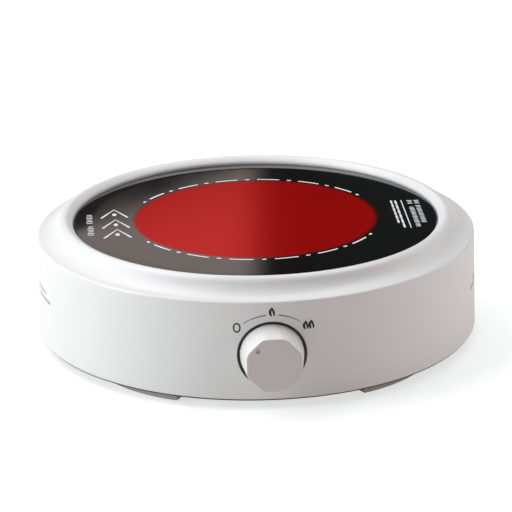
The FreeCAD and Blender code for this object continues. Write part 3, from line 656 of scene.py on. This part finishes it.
def flame(verts, faces, u, v, k, top, low):
    left = [(-0.38, -1.95, 0.24), (-0.58, -1.4, 0.42), (-0.86, -0.6, 0.5), (-0.84, 0.2, 0.52), (-0.56, 1.0, 0.42), (-0.2, 1.6, 0.3), (-0.05, 2.1, 0.12)]
    right = [(0.0, 2.0, 0.12), (0.32, 1.1, 0.4), (0.66, 0.2, 0.42), (0.92, -0.7, 0.4), (0.96, -1.3, 0.36), (0.9, -1.8, 0.24)]
    for line in (left, right):
        stroke(verts, faces, [(u + a * k, v + b * k, w * k * 1.22) for a, b, w in line], on_wall, top, low, 0.5)


def build_dial_marks():
    top, low = 0.022, -0.03
    verts, faces = [], []
    # plain nought at the rest position
    n, cu, cv = 40, -16.2, 40.0
    lo = [(cu + 1.85 * math.cos(2 * math.pi * i / n), cv + 2.45 * math.sin(2 * math.pi * i / n)) for i in range(n)]
    li = [(cu + 1.1 * math.cos(2 * math.pi * i / n), cv + 1.68 * math.sin(2 * math.pi * i / n)) for i in range(n)]
    strip(verts, faces, lo, li, on_wall, top, low, True)
    flame(verts, faces, 0.1, 47.55, 1.0, top, low)
    flame(verts, faces, 15.75, 40.2, 0.98, top, low)
    flame(verts, faces, 18.45, 40.35, 0.98, top, low)
    piece("dial_marks", verts, faces, PRINT_DARK)
    verts, faces = [], []
    for a0, a1 in ((-33.4, -6.8), (8.2, 33.4)):
        n = 22
        line = []
        for i in range(n + 1):
            t = i / n
            a = math.radians(a0 + (a1 - a0) * t)
            w = 0.14 + 0.16 * (t if a0 < 0 else 1 - t)
            line.append((24.0 * math.sin(a), Z_DIAL - 4.4 + 24.0 * math.cos(a), w))
        stroke(verts, faces, line, on_wall, top, low, 0.7)
    piece("dial_arcs", verts, faces, PRINT_GREY)


# ---------------------------------------------------------------------------
# knob: eight facets running out into a round skirt, pointer dimple, hollow back
# ---------------------------------------------------------------------------
def build_knob():
    cols = 360
    y_face, rnd = -121.9, 0.6

    def cone(s):
        return 13.35 + (14.85 - 13.35) * min(s, 14.4) / 14.4

    def facet(phi, s):
        d = (phi - 90.0 + 22.5) % 45.0 - 22.5
        return (12.75 + 0.165 * s) / math.cos(math.radians(d))

    def soft_min(a, b, k):
        h = max(k - abs(a - b), 0.0) / k
        return min(a, b) - h * h * k * 0.25

    def side(phi, s):
        return soft_min(cone(s), facet(phi, s), 0.32)

    dx, dz = -10.35 * math.sin(math.radians(45)), 10.35 * math.sin(math.radians(45))

    def face_depth(x, z):
        d = math.hypot(x - dx, z - dz)
        if d >= 1.45:
            return 0.0
        if d >= 1.25:
            return 0.14 * ((1.45 - d) / 0.2) ** 2
        return 0.14 + math.sqrt(1.25 ** 2 - d * d) * 0.8

    verts, faces, rows = [], [], []

    def row(fn):
        ids = []
        for j in range(cols):
            r, s = fn(float(j))
            x, z = r * math.cos(math.radians(j)), r * math.sin(math.radians(j))
            ids.append(len(verts))
            verts.append((x, y_face + s, Z_DIAL + z))
        rows.append(ids)

    def face_ring(r):
        def fn(phi):
            x, z = r * math.cos(math.radians(phi)), r * math.sin(math.radians(phi))
            return r, face_depth(x, z)
        row(fn)

    for r in (1.5, 3.0, 4.5, 6.0, 7.2, 8.1):
        face_ring(r)
    r = 8.5
    while r < 11.85:
        face_ring(r)
        r += 0.1
    row(lambda f: (11.85 * 0.5 + 0.5 * (side(f, rnd) - rnd), 0.0))
    for i in range(8):
        a = math.radians(90.0 * i / 7)
        row(lambda f, a=a: (side(f, rnd) - rnd * (1 - math.sin(a)), rnd * (1 - math.cos(a))))
    for s in (1.1, 1.8, 2.6, 3.4, 4.2, 5.0, 5.8, 6.6, 7.4, 8.2, 9.2, 10.4, 11.8, 13.2, 14.4, 15.4, 16.3):
        row(lambda f, s=s: (side(f, s), s))
    for q, s in ((14.7, 16.58), (14.4, 16.7), (13.0, 16.7), (12.78, 16.62), (12.7, 16.4), (12.7, 10.2), (12.4, 9.9), (6.9, 9.9), (6.6, 10.2), (6.6, 16.5), (6.4, 16.7),
                 (3.7, 16.7), (3.5, 16.5), (3.5, 8.3)):
        row(lambda f, q=q, s=s: (q, s))
    for a, b in zip(rows[:-1], rows[1:]):
        ring_quads(a, b, faces)
    faces += [tuple(rows[0]), tuple(reversed(rows[-1]))]
    ob = piece("dial_knob", verts, faces, MATS["white_knob"], "dial", 40.0)
    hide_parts("knob")
    return ob


# ---------------------------------------------------------------------------
# feet: arc pads with rounded ends and a rounded lower edge, two pegs each
# ---------------------------------------------------------------------------
def build_feet():
    verts, faces = [], []
    n, m = 26, 10

    def outline(inset):
        """Around one foot, angles from its square front end to its tapering back end: outer edge, back end, inner edge, front end."""
        def outer(a):
            t = (a - 24.8) / 24.8
            return 104.9 - 4.6 * t * t

        out = []
        a0, a1 = 24.8 + math.degrees(inset / 100.0), 49.6 - math.degrees(inset / 100.0)
        for i in range(n + 1):
            a = a0 + (a1 - a0) * i / n
            out.append((outer(a) - inset, a))
        for i in range(1, m):
            t = i / m
            r0, r1 = outer(a1) - inset, 95.7 + inset
            out.append((r0 + (r1 - r0) * t, a1 + 1.1 * math.sin(math.pi * t)))
        for i in range(n + 1):
            out.append((95.7 + inset, a1 + (a0 - a1) * i / n))
        for i in range(1, m):
            t = i / m
            r0, r1 = 95.7 + inset, outer(a0) - inset
            out.append((r0 + (r1 - r0) * t, a0 - 0.25 * math.sin(math.pi * t)))
        return out

    section = [(0.2, 4.54), (0.0, 4.35), (0.05, 0.62)]
    for i in range(1, 7):
        a = math.radians(15.0 * i)
        section.append((0.05 + 0.38 * (1 - math.cos(a)), 0.62 - 0.4 * math.sin(a)))
    for turn, mirror in ((0.0, 1.0), (0.0, -1.0), (180.0, 1.0), (180.0, -1.0)):
        rows = []
        for inset, z in section:
            ids = []
            for r, a in outline(inset):
                t = math.radians(turn + mirror * a)
                ids.append(len(verts))
                verts.append((r * math.sin(t), -r * math.cos(t), z))
            rows.append(ids)
        for a, b in zip(rows[:-1], rows[1:]):
            ring_quads(a, b, faces)
        for ids in (rows[0], rows[-1]):
            o, i_ = ids[0:n + 1], ids[n + m:2 * n + m + 1]
            for q in range(n):
                faces.append((o[q], o[q + 1], i_[n - 1 - q], i_[n - q]))
            faces.append(tuple(ids[n:n + m + 1]))
            faces.append(tuple(ids[2 * n + m:]) + (ids[0],))
        for d in (28.5, 37.5):
            t = math.radians(turn + mirror * d)
            px, py = 99.9 * math.sin(t), -99.9 * math.cos(t)
            ring = []
            for r, z in ((2.0, 4.5), (2.0, 6.7), (1.7, 7.0)):
                ids = []
                for q in range(24):
                    u = 2 * math.pi * q / 24
                    ids.append(len(verts))
                    verts.append((px + r * math.cos(u), py + r * math.sin(u), z))
                ring.append(ids)
            for a_, b_ in zip(ring[:-1], ring[1:]):
                ring_quads(a_, b_, faces)
            faces += [tuple(ring[0]), tuple(reversed(ring[-1]))]
    ob = piece("arc_feet", verts, faces, MATS["grey_plastic"])
    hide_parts("feet")
    return ob


def build_base_rim():
    """Edge of the base that shows as a thin line under the white wall, made near-black as painted shade for the shadow
    line there.
    """
    cols = 360
    prof = [(104.7, 4.53), (107.7, 4.53), (107.95, 4.5), (108.1, 4.35), (108.1, 4.05), (107.95, 3.9), (107.7, 3.85), (104.9, 3.85), (104.7, 4.05)]
    verts, faces, rows = [], [], []
    for r, z in prof:
        rows.append(list(range(len(verts), len(verts) + cols)))
        verts += [(r * math.sin(math.radians(j)), -r * math.cos(math.radians(j)), z) for j in range(cols)]
    for a, b in zip(rows, rows[1:] + rows[:1]):
        ring_quads(a, b, faces)
    return piece("base_rim", verts, faces, RIM_PAINTED_SHADE)


build_drum()
glass_top = build_glass()
zone_disc = build_zone()
build_prints()
build_dial_marks()
build_knob()
build_feet()
build_base_rim()

# ---------------------------------------------------------------------------
# stage: floor, panel behind, lights, world
# ---------------------------------------------------------------------------
def build_floor():
    m, nt, p = material("floor_paper")
    co = node(nt, "ShaderNodeTexCoord").outputs["Object"]
    fibre = noise(nt, co, 300.0, 4.0, 0.6)
    nt.links.new(two_tone(nt, fibre, (0.48, 0.48, 0.48), (0.52, 0.52, 0.52)), p.inputs["Base Color"])
    p.inputs["Roughness"].default_value = 0.9
    p.inputs["Specular IOR Level"].default_value = 0.1
    seen = node(nt, "ShaderNodeLightPath").outputs["Is Camera Ray"]
    ln = node(nt, "ShaderNodeVectorMath", operation="LENGTH")
    nt.links.new(co, ln.inputs[0])
    far = two_tone(nt, remap(nt, ln.outputs["Value"], 0.4, 1.8, 0.0, 1.0, True), FLOOR_SEEN, (1.0, 1.0, 1.0))
    glow = node(nt, "ShaderNodeMix", data_type="RGBA")
    glow.inputs["A"].default_value = (*FLOOR_GLOW, 1.0)
    nt.links.new(seen, glow.inputs["Factor"])
    nt.links.new(far, glow.inputs["B"])
    nt.links.new(glow.outputs["Result"], p.inputs["Emission Color"])
    p.inputs["Emission Strength"].default_value = 1.0
    me = bpy.data.meshes.new("floor")
    q = 9.0
    me.from_pydata([(-q, -q, -0.0002), (q, -q, -0.0002), (q, q, -0.0002), (-q, q, -0.0002)], [], [(0, 1, 2, 3)])
    me.materials.append(m)
    ob = bpy.data.objects.new("floor", me)
    SC.collection.objects.link(ob)
    return ob


def build_panel():
    """Soft panel behind, on the left: fades out at its lower and right edges."""
    m = bpy.data.materials.new("panel_cloth")
    m.use_nodes = True
    nt = m.node_tree
    nt.nodes.clear()
    co = node(nt, "ShaderNodeTexCoord").outputs["Object"]
    sep = node(nt, "ShaderNodeSeparateXYZ")
    nt.links.new(co, sep.inputs[0])
    slant = math_node(nt, "ADD", math_node(nt, "MULTIPLY", sep.outputs["X"], 0.3196), math_node(nt, "MULTIPLY", sep.outputs["Z"], 0.917))
    base = 0.3196 * 0.0916 + 0.917 * 0.563
    rise = remap(nt, slant, base - 0.070, base - 0.047, 0.03, 1.0, True)
    cut = remap(nt, sep.outputs["X"], 0.072, 0.115, 1.0, 0.0, True)
    far = remap(nt, sep.outputs["X"], -1.3, -0.7, 0.0, 1.0, True)
    high = remap(nt, sep.outputs["Z"], 0.95, 1.25, 1.0, 0.0, True)
    level = math_node(nt, "MULTIPLY", math_node(nt, "MULTIPLY", rise, cut), math_node(nt, "MULTIPLY", far, high))
    em = node(nt, "ShaderNodeEmission")
    em.inputs["Color"].default_value = (1.0, 0.85, 0.785, 1.0)
    nt.links.new(math_node(nt, "ADD", math_node(nt, "MULTIPLY", level, PANEL_LEVEL), 0.036), em.inputs["Strength"])
    out = node(nt, "ShaderNodeOutputMaterial")
    nt.links.new(em.outputs[0], out.inputs["Surface"])
    me = bpy.data.meshes.new("panel")
    me.from_pydata([(-1.3, 1.5, 0.40), (0.16, 1.5, 0.40), (0.16, 1.5, 1.25), (-1.3, 1.5, 1.25)], [], [(0, 1, 2, 3)])
    me.materials.append(m)
    ob = bpy.data.objects.new("panel", me)
    SC.collection.objects.link(ob)
    ob.visible_camera = False
    return ob


def build_flag():
    """Dark card behind the panel, so that the glass stays dark on its right."""
    m, nt, p = material("flag_cloth")
    co = node(nt, "ShaderNodeTexCoord").outputs["Object"]
    weave = noise(nt, co, 500.0, 3.0)
    nt.links.new(two_tone(nt, weave, (0.004, 0.004, 0.004), (0.01, 0.01, 0.01)), p.inputs["Base Color"])
    p.inputs["Roughness"].default_value = 1.0
    p.inputs["Specular IOR Level"].default_value = 0.0
    p.inputs["Emission Color"].default_value = (0.033, 0.037, 0.036, 1.0)
    p.inputs["Emission Strength"].default_value = 1.0
    me = bpy.data.meshes.new("flag")
    me.from_pydata([(-0.75, 1.56, 0.30), (0.75, 1.56, 0.30), (0.75, 1.56, 0.78), (-0.75, 1.56, 0.78)], [], [(0, 1, 2, 3)])
    me.materials.append(m)
    ob = bpy.data.objects.new("flag", me)
    SC.collection.objects.link(ob)
    ob.visible_camera = False
    return ob


def area(name, azimuth, elevation, distance, w, h, watts, color=(1.0, 1.0, 1.0)):
    """Softbox aimed at the object; azimuth in degrees from the front, towards +X."""
    d = bpy.data.lights.new(name, "AREA")
    d.shape = "RECTANGLE"
    d.size, d.size_y = w, h
    d.energy, d.color = watts, color
    ob = bpy.data.objects.new(name, d)
    a, e = math.radians(azimuth), math.radians(elevation)
    back = Vector((math.sin(a) * math.cos(e), -math.cos(a) * math.cos(e), math.sin(e)))
    ob.rotation_mode = "QUATERNION"
    ob.location = Vector((0, 0, 0.035)) + back * distance
    ob.rotation_quaternion = (-back).to_track_quat("-Z", "Y")
    ob.visible_camera = False
    SC.collection.objects.link(ob)
    return ob


FLOOR_GLOW = (0.264, 0.229, 0.19)
FLOOR_SEEN = (0.615, 0.63, 0.63)
PANEL_LEVEL = 0.86
LIGHTS = [
    # name, azimuth, elevation, distance, width, height, watts, colour
    ("left", -90.0, 35.0, 1.4, 1.5, 0.7, 7.2, (1.0, 0.98, 0.985)),
    ("left_low", -75.0, 12.0, 1.4, 0.75, 0.5, 11.0, (0.89, 0.977, 1.0)),
    ("left_top", -120.0, 62.0, 1.4, 1.3, 0.6, 12.3, (1.0, 0.94, 0.944)),
    ("right_front_low", 60.0, 12.0, 1.4, 0.75, 0.5, 4.4, (1.0, 0.79, 0.77)),
    ("right", 97.0, 33.0, 1.4, 1.0, 0.6, 2.4, (0.85, 1.0, 0.92)),
    ("right_low", 105.0, 12.0, 1.4, 0.75, 0.5, 2.5, (0.95, 0.93, 1.0)),
    ("right_top", 140.0, 62.0, 1.4, 1.0, 0.6, 5.9, (0.935, 1.0, 0.958)),
]
build_floor()
build_panel()
build_flag()
# the softboxes light the object but do not mirror as white patches in the glass
shaded = bpy.data.collections.new("shaded")
for ob in (glass_top, zone_disc):
    shaded.objects.link(ob)
for entry in shaded.collection_objects:
    entry.light_linking.link_state = "EXCLUDE"
for row in LIGHTS:
    area(*row).light_linking.receiver_collection = shaded

world = bpy.data.worlds.new("studio")
SC.world = world
world.use_nodes = True
wt = world.node_tree
wt.nodes.clear()
dim = node(wt, "ShaderNodeBackground")
dim.inputs["Color"].default_value = (0.081, 0.0875, 0.104, 1.0)
pale = node(wt, "ShaderNodeBackground")
pale.inputs["Color"].default_value = (1.0, 1.0, 1.0, 1.0)
path = node(wt, "ShaderNodeLightPath")
mix = node(wt, "ShaderNodeMixShader")
wt.links.new(path.outputs["Is Camera Ray"], mix.inputs[0])
wt.links.new(dim.outputs[0], mix.inputs[1])
wt.links.new(pale.outputs[0], mix.inputs[2])
wout = node(wt, "ShaderNodeOutputWorld")
wt.links.new(mix.outputs[0], wout.inputs["Surface"])

SC.view_settings.view_transform = "Standard"


# ---------------------------------------------------------------------------
# camera: the photograph's viewing angle, image taken as 512 x 512
# ---------------------------------------------------------------------------
def build_camera():
    dist, e, roll, turn, f = 1.3, math.radians(18.52), math.radians(0.90), math.radians(3.6), 2625.74
    c, s = math.cos(turn), math.sin(turn)

    def turned(v):
        return Vector((c * v[0] + s * v[1], -s * v[0] + c * v[1], v[2]))

    fwd = turned((0.0, math.cos(e), -math.sin(e)))
    right = turned((1.0, 0.0, 0.0))
    up = turned((0.0, math.sin(e), math.cos(e)))
    cr, sr = math.cos(roll), math.sin(roll)
    right2 = right * cr - up * sr
    up2 = right * sr + up * cr
    pos = Vector((0.0, 0.0, 0.057)) - fwd * dist
    aim = (fwd * f + right2 * 0.59 - up2 * 38.29).normalized()
    x = (right2 - aim * right2.dot(aim)).normalized()
    y = (-aim).cross(x)
    cam = bpy.data.cameras.new("camera")
    cam.sensor_width = 36.0
    cam.lens = 36.0 * math.sqrt(f * f + 0.59 ** 2 + 38.29 ** 2) / 512.0
    cam.clip_start, cam.clip_end = 0.05, 60.0
    ob = bpy.data.objects.new("camera", cam)
    SC.collection.objects.link(ob)
    m = Matrix((x, y, -aim)).transposed().to_4x4()
    m.translation = pos
    ob.matrix_world = m
    SC.camera = ob


build_camera()
